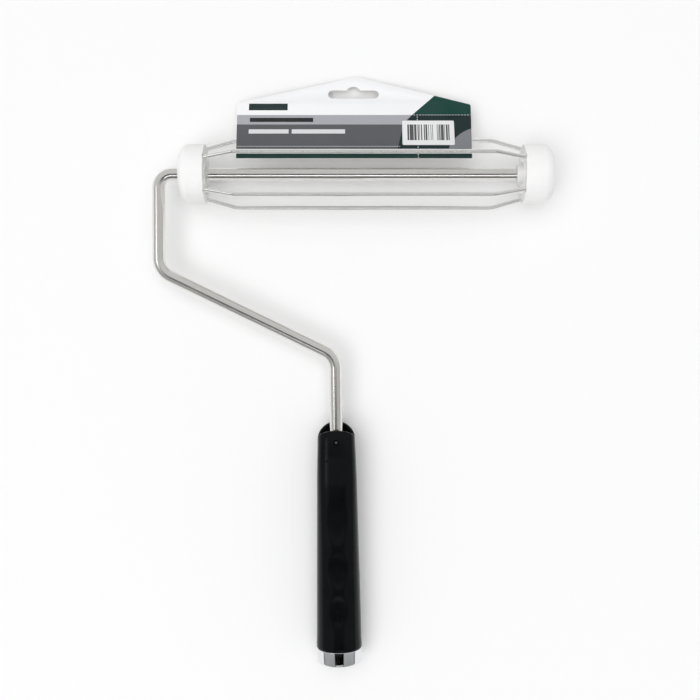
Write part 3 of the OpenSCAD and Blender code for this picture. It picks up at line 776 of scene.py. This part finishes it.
# ------------------------------------------------------------------ floor, light and camera
def floor():
    n, size = 48, 14.0
    v = [(-size / 2 + size * i / n, -size / 2 + size * j / n, -0.0002) for j in range(n + 1) for i in range(n + 1)]
    f = [(j * (n + 1) + i, j * (n + 1) + i + 1, (j + 1) * (n + 1) + i + 1, (j + 1) * (n + 1) + i) for j in range(n) for i in range(n)]
    mesh = bpy.data.meshes.new("studio_floor")
    mesh.from_pydata(v, [], f)
    o = bpy.data.objects.new("studio_floor", mesh)
    bpy.context.scene.collection.objects.link(o)
    m = Mat("floor_paper", "floor")
    grain = m.noise(m.obj(), 900, 3, 0.5)
    m.set(Base_Color=m.mix(grain, (0.925, 0.925, 0.925), (0.94, 0.94, 0.94)), Roughness=0.85, Metallic=0.0)
    m.b.inputs["Specular IOR Level"].default_value = 0.1
    o.data.materials.append(m.m)


floor()


def studio_world():
    w = bpy.data.worlds.new("studio")
    bpy.context.scene.world = w
    w.use_nodes = True
    t = w.node_tree
    t.nodes.clear()
    L = t.links.new

    def put(sock, v):
        if isinstance(v, bpy.types.NodeSocket):
            L(v, sock)
        else:
            sock.default_value = v

    def mth(op, a, b=0.0, c=0.0):
        k = t.nodes.new("ShaderNodeMath")
        k.operation = op
        for i, q in enumerate((a, b, c)):
            put(k.inputs[i], q)
        return k.outputs[0]

    def rng(v, a, b, c, d):
        k = t.nodes.new("ShaderNodeMapRange")
        k.interpolation_type = "SMOOTHSTEP"
        for i, q in enumerate((v, a, b, c, d)):
            put(k.inputs[i], q)
        return k.outputs[0]

    co = t.nodes.new("ShaderNodeTexCoord").outputs["Generated"]
    sep = t.nodes.new("ShaderNodeSeparateXYZ")
    L(co, sep.inputs[0])
    dx, dy, dz = sep.outputs
    up = mth("MAXIMUM", dz, 0.02)
    ax = mth("MULTIPLY", mth("ARCTAN2", dx, up), 57.2958)
    ay = mth("MULTIPLY", mth("ARCTAN2", dy, up), 57.2958)
    ey = mth("MULTIPLY", mth("ARCSINE", dy), 57.2958)

    def blob(cx, cy, rx, ry, inner, outer):
        u = mth("DIVIDE", mth("SUBTRACT", ax, cx), rx)
        v = mth("DIVIDE", mth("SUBTRACT", ay, cy), ry)
        return rng(mth("SQRT", mth("ADD", mth("MULTIPLY", u, u), mth("MULTIPLY", v, v))), inner, outer, 1.0, 0.0)

    def bar(x0, y0, x1, y1, half, soft_):
        lx, ly = x1 - x0, y1 - y0
        n = math.hypot(lx, ly)
        ux, uy = lx / n, ly / n
        px, py = mth("SUBTRACT", ax, x0), mth("SUBTRACT", ay, y0)
        along = mth("ADD", mth("MULTIPLY", px, ux), mth("MULTIPLY", py, uy))
        across = mth("ADD", mth("MULTIPLY", px, -uy), mth("MULTIPLY", py, ux))
        over = mth("SUBTRACT", along, mth("MINIMUM", mth("MAXIMUM", along, 0.0), n))
        d = mth("SQRT", mth("ADD", mth("MULTIPLY", over, over), mth("MULTIPLY", across, across)))
        return rng(d, half, half + soft_, 1.0, 0.0)

    # what gloss sees: a grey room, unlit over the handle's side, and two soft lamps; what lights the scene: one soft overhead light
    dome = mth("MULTIPLY", rng(ey, -35.0, 25.0, 0.36, 0.60), rng(dz, 0.04, 0.2, 0.6, 1.0))
    dark = mth("MULTIPLY", mth("MULTIPLY", rng(ax, -26.0, -22.0, 0.0, 1.0), rng(ax, 22.0, 26.0, 1.0, 0.0)),
               mth("MULTIPLY", rng(ay, -32.0, -28.0, 0.0, 1.0), rng(ay, -7.0, -4.0, 1.0, 0.0)))
    low = mth("MULTIPLY", mth("MULTIPLY", rng(ax, -40.0, -34.0, 0.0, 1.0), rng(ax, 34.0, 40.0, 1.0, 0.0)),
              mth("MULTIPLY", rng(ay, -78.0, -72.0, 0.0, 1.0), rng(ay, -55.0, -49.0, 1.0, 0.0)))
    lamps = mth("ADD", mth("MULTIPLY", blob(-38.0, 0.0, 3.6, 10.0, 0.7, 1.15), 1.9), mth("ADD", mth("MULTIPLY", bar(-36, -2, -27, -3, 2.6, 2.0), 1.9), mth("MULTIPLY", bar(-14, -37, 16, -34, 4.0, 3.0), 1.7)))
    glossy = mth("ADD", mth("MULTIPLY", dome, mth("SUBTRACT", 1.0, mth("MAXIMUM", dark, mth("MULTIPLY", low, 0.85)))), lamps)
    soft_top = mth("ADD", mth("MULTIPLY", blob(-8.0, 0.0, 34.0, 34.0, 0.7, 1.15), 1.9), 0.475)
    lp = t.nodes.new("ShaderNodeLightPath")
    level = mth("ADD", mth("MULTIPLY", glossy, lp.outputs["Is Glossy Ray"]), mth("MULTIPLY", mth("SUBTRACT", 1.0, lp.outputs["Is Glossy Ray"]), soft_top))
    bg = t.nodes.new("ShaderNodeBackground")
    bg.inputs["Color"].default_value = (1.0, 1.0, 1.0, 1.0)
    L(level, bg.inputs["Strength"])
    out = t.nodes.new("ShaderNodeOutputWorld")
    L(bg.outputs[0], out.inputs[0])


studio_world()


def area(name, direction, distance, size, power, glossy=False):
    d = bpy.data.lights.new(name, "AREA")
    d.shape = "DISK"
    d.size = size
    d.energy = power
    o = bpy.data.objects.new(name, d)
    bpy.context.scene.collection.objects.link(o)
    v = Vector(direction).normalized()
    o.location = v * distance + Vector((0, 0.0, 0))
    o.rotation_euler = (-v).to_track_quat("-Z", "Y").to_euler()
    o.visible_glossy = glossy
    return o


area("key_soft", (-0.42, -0.42, 0.9), 3.0, 1.5, 10.0)

scene = bpy.context.scene
cam_data = bpy.data.cameras.new("camera")
cam_data.lens = 56.571
cam_data.sensor_width = 36.0
cam_data.clip_start = 0.05
cam_data.clip_end = 20.0
cam = bpy.data.objects.new("camera", cam_data)
scene.collection.objects.link(cam)
cam.location = AXLE @ Vector((-8.9, -110.85, 693.0))
cam.rotation_euler = (0.0, 0.0, 0.0)
scene.camera = cam
scene.view_settings.view_transform = "Standard"
scene.view_settings.look = "None"
